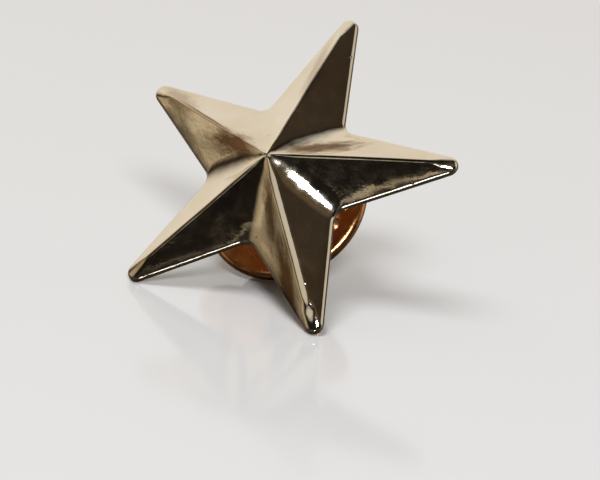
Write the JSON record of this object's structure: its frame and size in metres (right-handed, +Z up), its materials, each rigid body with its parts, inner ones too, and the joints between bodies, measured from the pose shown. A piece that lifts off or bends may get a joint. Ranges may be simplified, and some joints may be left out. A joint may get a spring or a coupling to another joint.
{
  "type": "lapel pin",
  "caption": "Faceted star lapel pin with a soldered post and a removable butterfly clutch, leaning on its lower arms and a clutch wing.",
  "frame": {"origin": "on the table, at the middle of the bottom of the bounding box, as the pin stands", "axes": "+Z up, +X to the right of someone who faces the star, -Y towards them; the star leans back 41.4 degrees from upright"},
  "size_m": [0.0232, 0.015, 0.0169],
  "materials": {
    "star_plating": "polished pale gold plating",
    "post_steel": "drawn wire",
    "solder": "dull solder",
    "clutch_brass": "pressed bright brass",
    "spring_steel": "drawn spring wire"
  },
  "bodies": {
    "clutch": {"clutch_base": "clutch_brass", "clutch_cap": "clutch_brass", "jaw_spring": "spring_steel"},
    "pin": {"star_body": "star_plating", "pin_post": "post_steel", "solder_seam": "solder"},
    "upper_wing": {"wing_upper": "clutch_brass"},
    "lower_wing": {"wing_lower": "clutch_brass"}
  },
  "joints": [
    {"name": "pin_pull", "type": "slide", "parent": "clutch", "child": "pin", "axis": [0, -0.7501, 0.6613], "range_m": [0, 0.009]},
    {"name": "upper_squeeze", "type": "hinge", "parent": "clutch", "child": "upper_wing", "pos_m": [-0.00142, 0.00424, 0.00601], "axis": [-0.9703, -0.16, -0.1815], "range_deg": [0, 12], "stiffness_Nm_per_rad": 0.0005, "deforming": ["jaw_spring"]},
    {"name": "lower_squeeze", "type": "hinge", "parent": "clutch", "child": "lower_wing", "pos_m": [-0.00018, 0.00097, 0.0023], "axis": [0.9703, 0.16, 0.1815], "range_deg": [0, 12], "stiffness_Nm_per_rad": 0.0005}
  ],
  "couplings": [
    {"joint": "lower_squeeze", "follows": "upper_squeeze", "ratio": 1}
  ]
}
